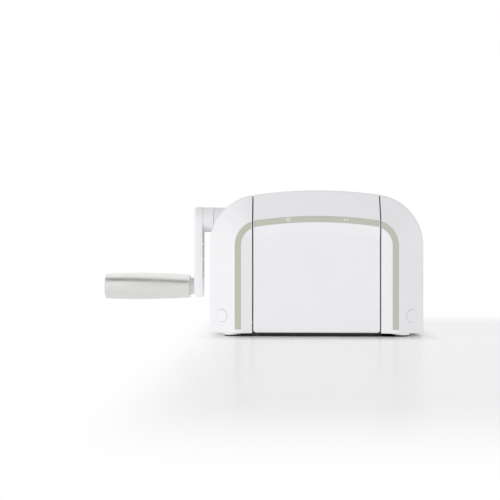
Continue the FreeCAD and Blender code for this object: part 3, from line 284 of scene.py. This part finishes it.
# bare or plated metal: tool lines, darker oxide in patches, edges polished by use
def paintMetal(look):
    finish, wire, shader = startFinish(look["name"], Metallic=1.0)
    normal, edge = softEdge(wire, look["edge"])
    lines = grain(wire, *look["lines"])
    patch = grain(wire, *look["patch"])
    oxide = spread(wire, patch, 0.0, look["patchMost"])
    shade = oxide + spread(wire, lines, 0.0, look["lineMost"]) - edge
    rough = spread(wire, lines, *look["rough"]) + spread(wire, patch, *look["patchRough"])
    feed(shader, "Base Color", blendColour(wire, shade, look["colour"], look["dark"]))
    feed(shader, "Roughness", rough)
    feed(shader, "Normal", bumpOn(wire, lines, normal, *look["lineBump"]))
    return finish


for slot, look in metalLooks.items():
    finishes[slot] = paintMetal({**everyMetal, **look})

everyDull = {"ior": 1.5, "edge": 0.0003, "edgeDust": 0.3, "settled": (130.0, 5.0), "dustMost": 0.6,
             "poreBump": (0.00004, 0.5)}
dullLooks = {
    "grip_plastic": {"name": "greyMoulding", "rough": (0.42, 0.55), "pores": (1700.0, 3.0),
                     "colour": (0.72, 0.73, 0.75, 1), "dust": (0.76, 0.76, 0.77, 1)},
    "rubber": {"name": "blackRubber", "rough": (0.62, 0.8), "pores": (1200.0, 3.0),
               "colour": (0.018, 0.018, 0.019, 1), "dust": (0.06, 0.06, 0.06, 1)},
}


def paintDull(look):  # matt moulded grip parts and rubber, with dust caught in the texture
    finish, wire, shader = startFinish(look["name"], IOR=look["ior"])
    normal, edge = softEdge(wire, look["edge"])
    pores = grain(wire, *look["pores"])
    dust = spread(wire, grain(wire, *look["settled"]), 0.0, look["dustMost"])
    dust = dust + edge * look["edgeDust"]
    feed(shader, "Base Color", blendColour(wire, dust, look["colour"], look["dust"]))
    feed(shader, "Roughness", spread(wire, pores, *look["rough"]))
    feed(shader, "Normal", bumpOn(wire, pores, normal, *look["poreBump"]))
    return finish


for slot, look in dullLooks.items():
    finishes[slot] = paintDull({**everyDull, **look})

for part in frame["record"]["subparts"]:
    nodes[part["node"]].material_slots[0].material = finishes[part["material_slot"]]
print("finishes set:", len(finishes))


def deselectAll():
    bpy.ops.object.select_all(action="DESELECT")


def pickOnly(piece):
    deselectAll()
    piece.select_set(True)
    bpy.context.view_layer.objects.active = piece


squarely = 0.9  # how nearly a face has to look the way that is asked


def pickFaces(piece, way):  # edit mode, with only the faces that look this way selected
    bpy.ops.object.mode_set(mode="EDIT")
    bpy.ops.mesh.select_mode(type="FACE")
    bpy.ops.mesh.select_all(action="DESELECT")
    bpy.ops.object.mode_set(mode="OBJECT")
    for face in piece.data.polygons:
        face.select = face.normal.dot(Vector(way)) > squarely
    bpy.ops.object.mode_set(mode="EDIT")


# a rod along Z, or turned, between two points
def startRod(name, sides, radius, low, high, turn=(0, 0, 0)):
    deselectAll()
    centre = [(a + b) / 2 for a, b in zip(low, high)]
    bpy.ops.mesh.primitive_cylinder_add(vertices=sides, radius=radius, depth=math.dist(low, high),
                                        location=centre, rotation=turn)
    piece = bpy.context.object
    piece.name = name
    bpy.ops.object.transform_apply(location=True, rotation=True, scale=True)
    return piece


def push(amount):
    bpy.ops.mesh.extrude_region_move(TRANSFORM_OT_translate={"value": amount})


def carve(piece, tool):  # cuts the tool's shape out of the piece, and throws the tool away
    cutter = piece.modifiers.new("carve", "BOOLEAN")
    cutter.object = tool
    cutter.solver = "EXACT"
    pickOnly(piece)
    bpy.ops.object.modifier_apply(modifier=cutter.name)
    bpy.data.objects.remove(tool)


softenLook = {"steps": 2, "sharper": 35, "smoothBelow": 30}  # degrees between faces


def softenEdges(piece, width):
    bevel = piece.modifiers.new("soften", "BEVEL")
    bevel.width = width
    bevel.segments = softenLook["steps"]
    bevel.limit_method = "ANGLE"
    bevel.angle_limit = math.radians(softenLook["sharper"])
    pickOnly(piece)
    bpy.ops.object.modifier_apply(modifier=bevel.name)
    bpy.ops.object.shade_smooth_by_angle(angle=math.radians(softenLook["smoothBelow"]))


def settle(piece, body, slot, *stoodFor):
    piece.data.materials.clear()
    piece.data.materials.append(finishes[slot])
    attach(piece, body)
    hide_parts(*stoodFor)


lengthways = (0, math.radians(90), 0)  # turns a rod from Z to X, the crank's own axis

# crank bolt: a cap screw with a hexagon socket, sunk in the arm's end
boltLook = {"sides": 48, "head": 0.004, "shank": 0.003, "soft": 0.0003,
            "flats": 6, "socket": 0.0029, "socketDeep": 0.0024}


def makeBolt(look):
    low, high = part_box("crank_bolt")
    height = (low.z + high.z) / 2
    radius = (high.z - low.z) / 2
    neck = low.x + look["head"]
    bolt = startRod("socketBolt", look["sides"], radius,
                    (low.x, 0, height), (neck, 0, height), lengthways)
    pickFaces(bolt, (1, 0, 0))
    bpy.ops.mesh.inset(thickness=radius - look["shank"])
    push((high.x - neck, 0, 0))
    bpy.ops.object.mode_set(mode="OBJECT")
    bottom = low.x + look["socketDeep"]
    key = startRod("hexKey", look["flats"], look["socket"],
                   (low.x - look["head"], 0, height), (bottom, 0, height), lengthways)
    carve(bolt, key)
    softenEdges(bolt, look["soft"])
    settle(bolt, "crank", "fastener", "crank_bolt")


makeBolt(boltLook)

# grip end: a pressed plug with a raised rim, a narrow groove and a shallow dish
plugLook = {"sides": 64, "rim": 0.0016, "groove": 0.0006, "sink": 0.0007, "lift": 0.00035,
            "dish": ((0.0028, 0.0004), (0.003, 0.0003), (0.002, 0.0001)), "soft": 0.00025}


def makeGripPlug(look):
    low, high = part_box("grip_end_cap")
    height = (low.z + high.z) / 2
    radius = (high.z - low.z) / 2
    plug = startRod("gripPlug", look["sides"], radius,
                    (low.x, 0, height), (high.x, 0, height), lengthways)
    pickFaces(plug, (-1, 0, 0))
    bpy.ops.mesh.inset(thickness=look["rim"])
    push((look["sink"], 0, 0))
    bpy.ops.mesh.inset(thickness=look["groove"])
    push((-look["lift"], 0, 0))
    for width, depth in look["dish"]:
        bpy.ops.mesh.inset(thickness=width)
        bpy.ops.transform.translate(value=(depth, 0, 0))
    bpy.ops.object.mode_set(mode="OBJECT")
    softenEdges(plug, look["soft"])
    settle(plug, "grip", "grip_plastic", "grip_end_cap")


makeGripPlug(plugLook)

# cross-head screws: one is modelled along Z for each set, and copied to the set's four places
screwSets = {
    "frontDeckScrews": {"node": "front_tray_screws", "body": "front_tray", "out": (0, 1, 0),
                        "head": 0.002, "shank": 0.0015},
    "rearDeckScrews": {"node": "rear_tray_screws", "body": "rear_tray", "out": (0, -1, 0),
                       "head": 0.002, "shank": 0.0015},
    "footScrews": {"node": "foot_screws", "body": "chassis", "out": (0, 0, -1),
                   "head": 0.0012, "shank": 0.002},
    "bedScrews": {"node": "bed_screws", "body": "chassis", "out": (0, 0, -1),
                  "head": 0.002, "shank": 0.0015},
}
crossLook = {"sides": 32, "headRadius": 0.0035, "soft": 0.00015, "turns": (12, 77, 41, 128),
             "crown": 0.45, "crownSteps": 3, "slotDeep": 0.9,  # crown and depth by head height
             "slotLong": 0.0042, "slotWide": 0.0009, "slotTaper": 0.6}


def makeCrossScrew(look, head, shank, length):
    radius = look["headRadius"]
    screw = startRod("crossScrew", look["sides"], radius, (0, 0, -head), (0, 0, 0))
    pickFaces(screw, (0, 0, -1))
    bpy.ops.mesh.inset(thickness=radius - shank)
    push((0, 0, head - length))
    pickFaces(screw, (0, 0, 1))
    bpy.ops.mesh.bevel(offset=look["crown"] * head, segments=look["crownSteps"], affect="EDGES")
    bpy.ops.object.mode_set(mode="OBJECT")
    for turn in (0, 90):  # the two arms of the cross
        deselectAll()
        bpy.ops.mesh.primitive_cube_add(size=1, rotation=(0, 0, math.radians(turn)))
        slot = bpy.context.object
        slot.scale = (look["slotLong"], look["slotWide"], 2 * head * look["slotDeep"])
        bpy.ops.object.transform_apply(location=True, rotation=True, scale=True)
        pickFaces(slot, (0, 0, -1))
        bpy.ops.transform.resize(value=(look["slotTaper"], look["slotTaper"], 1))
        bpy.ops.object.mode_set(mode="OBJECT")
        carve(screw, slot)
    softenEdges(screw, look["soft"])
    return screw


def makeScrewSet(name, where, look):
    low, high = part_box(where["node"])
    out = Vector(where["out"])
    lengthAxis = max(range(3), key=lambda axis: abs(out[axis]))
    across = [axis for axis in range(3) if axis != lengthAxis]
    length = high[lengthAxis] - low[lengthAxis]
    pattern = makeCrossScrew(look, where["head"], where["shank"], length)
    outwards = out.to_track_quat("Z", "Y")
    inset = look["headRadius"]
    copies = []
    for index, turn in enumerate(look["turns"]):
        place = Vector(high if out[lengthAxis] > 0 else low)
        for axis, upper in zip(across, (index % 2, index // 2)):
            place[axis] = high[axis] - inset if upper else low[axis] + inset
        copy = pattern.copy()
        copy.data = pattern.data.copy()
        bpy.context.scene.collection.objects.link(copy)
        copy.rotation_euler = (outwards @ Quaternion((0, 0, 1), math.radians(turn))).to_euler()
        copy.location = place
        copies.append(copy)
    bpy.data.objects.remove(pattern)
    pickOnly(copies[0])
    for copy in copies:
        copy.select_set(True)
    bpy.ops.object.join()
    bpy.ops.object.transform_apply(location=True, rotation=True, scale=True)
    copies[0].name = name
    settle(copies[0], where["body"], "fastener", where["node"])


for name, where in screwSets.items():
    makeScrewSet(name, where, crossLook)
print("fasteners and grip plug modelled")

# the table: a fade is its axis, where it starts and where all is white, from the body's middle; the
# white is the table's own glow, a painted pool of light that comes soonest on the left
floorLook = {"half": 3.0, "colour": (0.88, 0.88, 0.88, 1), "ior": 1.45, "rough": 0.24,
             "glow": 0.50, "lit": 0.85, "awayGlow": 0.85, "mirrored": 0.0,  # own light, by ray
             # painted soft shade: the table's own glow is held back near the body
             "shade": 0.06, "endSteep": 2.0, "endLift": 0.01,  # soft shade, shorter past the ends
             # painted shadow: a dark table colour under the body, between the feet
             "under": (0.02, 0.02, 0.02, 1), "underFade": (-0.0005, -0.007), "underEnds": -0.022,
             "bevel": (0.0338, 0.016),  # the body's sloping corners, along X and along Y
             "fades": {"left": (0, -0.09, -0.19), "right": (0, 0.45, 0.80),
                       "front": (1, -0.56, -0.80), "rear": (1, 0.10, 0.34)}}


# one value for the eye and glass, one for gloss, and one where light is gathered
def byRay(wire, seen, mirrored, gathered):
    eye, gloss, glass = [wire.node("ShaderNodeLightPath", output=f"Is {kind} Ray")
                         for kind in ("Camera", "Glossy", "Transmission")]
    return (eye + glass) * (seen - gathered) + gloss * (mirrored - gathered) + gathered


# distance past the body's eight-sided outline, and past its two ends alone
def pastOutline(wire, at, bevel):
    low, high = bodyBox
    centre = Vector((middle, (low.y + high.y) / 2, 0))
    reach = Vector(((high.x - low.x) / 2, (high.y - low.y) / 2, 0))
    slope = Vector((bevel[1], bevel[0], 0)).normalized()  # points out of the sloping corners
    slopeReach = slope.dot(reach - Vector((0, bevel[1], 0)))
    away = wire.vector("ABSOLUTE", wire.vector("SUBTRACT", at, centre))
    past = wire.vector("SUBTRACT", away, reach)
    pastEnds = along(wire, past, 0)
    pastSides = wire.maths("MAXIMUM", pastEnds, along(wire, past, 1))
    pastSlopes = wire.vector("DOT_PRODUCT", away, slope) - slopeReach
    return wire.maths("MAXIMUM", pastSides, pastSlopes), pastEnds


def tableKept(wire, at, fades):  # 1 near the machine, 0 where all is white
    kept = None
    for axis, start, end in fades.values():
        origin = middle if axis == 0 else 0.0
        fade = ease(wire, along(wire, at, axis), start + origin, end + origin, 1.0, 0.0)
        kept = fade if kept is None else kept * fade
    return kept


# white gloss table top near the machine, plain white away from it, with a painted shadow between the
# feet; the table glows with its own light, held back near the body as painted soft shade
def paintFloor(look):
    finish, wire, shader = startFinish("whiteTable", IOR=look["ior"], Roughness=look["rough"])
    at = placeOn(wire)
    past, pastEnds = pastOutline(wire, at, look["bevel"])
    # painted shadow under the body between the feet, in the table's colour
    under = ease(wire, past, *look["underFade"], 0.0, 1.0) * (pastEnds < look["underEnds"])
    feed(shader, "Base Color", blendColour(wire, under, look["colour"], look["under"]))
    lifted = wire.maths("MAXIMUM", past, pastEnds * look["endSteep"] + look["endLift"])
    # painted soft shade: less of the table's own glow near the outline
    near = ease(wire, lifted, 0.0, look["shade"], 0.0, look["glow"])
    glow = byRay(wire, near, near, (past > 0.0) * look["lit"])
    kept = tableKept(wire, at, look["fades"])
    # painted light: away from the machine the table glows white, also for the light it gives the
    # object
    clear = (1 - kept) * byRay(wire, 1.0, look["mirrored"], look["awayGlow"])
    white = wire.node("ShaderNodeEmission", None, {"Color": (1, 1, 1, 1), "Strength": 1.0})
    table = Wire(wire.tree, shader.outputs[0])
    inputs = {0: glow + clear * (1 - glow), 1: table, 2: white}
    mixed = wire.node("ShaderNodeMixShader", None, inputs)
    wire.tree.links.new(mixed.socket, wire.tree.nodes["Material Output"].inputs["Surface"])
    return finish


deselectAll()
bpy.ops.mesh.primitive_plane_add(size=2 * floorLook["half"], location=(0, 0, 0))
floor = bpy.context.object
floor.name = "tableTop"
floor.data.materials.append(paintFloor(floorLook))

# dark cards that only gloss shows: a leaning strip overhead and a thin veil in front
upright = math.radians(90)
stripAway, stripRise, stripLean = 2.0, math.radians(61.0), math.radians(-50.0)
stripAhead, stripAbove = stripAway * math.cos(stripRise), stripAway * math.sin(stripRise)
cards = {
    "ceilingStrip": {"at": (-0.6, -stripAhead, stripAbove),
                     "turn": (Quaternion((1, 0, 0), upright - stripRise)
                              @ Quaternion((0, 0, 1), stripLean)),
                     "size": (3.2, 0.70), "dense": 0.86},
    "frontVeil": {"at": (-0.32, -2.0, 0.6), "turn": Quaternion((1, 0, 0), upright),
                  "size": (0.36, 1.2), "dense": 1.1, "thinEnds": (0.5, 1.0)},
}


def hangCard(name, look):
    deselectAll()
    bpy.ops.mesh.primitive_plane_add(size=1, location=look["at"])
    card = bpy.context.object
    card.name = name
    card.scale = (*look["size"], 1)
    card.rotation_euler = look["turn"].to_euler()
    finish, wire, shader = startFinish("blackCard", Roughness=1.0, Specular_IOR_Level=0.0,
                                       Base_Color=(0.0, 0.0, 0.0, 1), Alpha=look["dense"])
    if "thinEnds" in look:  # thins out to the left and upwards
        left, top = look["thinEnds"]
        at = placeOn(wire)
        thinned = (along(wire, at, 0) + left) * (top - along(wire, at, 1))
        feed(shader, "Alpha", thinned * look["dense"])
    card.data.materials.append(finish)
    card.visible_camera = False
    card.visible_diffuse = False
    card.visible_shadow = False


for name, look in cards.items():
    hangCard(name, look)

skyLook = {"soft": 0.60, "seen": 1.0}
world = bpy.data.worlds.new("studio")
bpy.context.scene.world = world
world.use_nodes = True
backdrop = world.node_tree.nodes["Background"]
backdrop.inputs["Color"].default_value = (1, 1, 1, 1)
brightness = byRay(Wire(world.node_tree), skyLook["seen"], skyLook["seen"], skyLook["soft"])
feed(backdrop, "Strength", brightness)

lampAim = Vector((middle, 0, 0.08))
lampLook = {
    "leftWindow": {"at": (-2.1, -1.0, 0.35), "size": 1.2, "power": 15.5},
    "frontFill": {"at": (0.45, -2.45, 0.30), "size": 1.2, "power": 5.8},
}
for name, look in lampLook.items():
    lamp = bpy.data.lights.new(name, "AREA")
    lamp.size = look["size"]
    lamp.energy = look["power"]
    holder = bpy.data.objects.new(name, lamp)
    bpy.context.scene.collection.objects.link(holder)
    holder.location = look["at"]
    holder.visible_glossy = False
    holder.rotation_euler = (lampAim - holder.location).to_track_quat("-Z", "Y").to_euler()

# the camera's place is from the body's middle
cameraLook = {"sensor": 36.0, "lens": 65.16, "at": (-0.0469, -1.2336, 0.1101), "turn": 1.878}
eye = bpy.data.cameras.new("photoView")
eye.sensor_width = cameraLook["sensor"]
eye.lens = cameraLook["lens"]
eyeHolder = bpy.data.objects.new("photoView", eye)
bpy.context.scene.collection.objects.link(eyeHolder)
eyeHolder.location = Vector(cameraLook["at"]) + Vector((middle, 0, 0))
eyeHolder.rotation_euler = (upright, 0, math.radians(cameraLook["turn"]))
bpy.context.scene.camera = eyeHolder
bpy.context.scene.view_settings.view_transform = "Standard"
print("stage set")
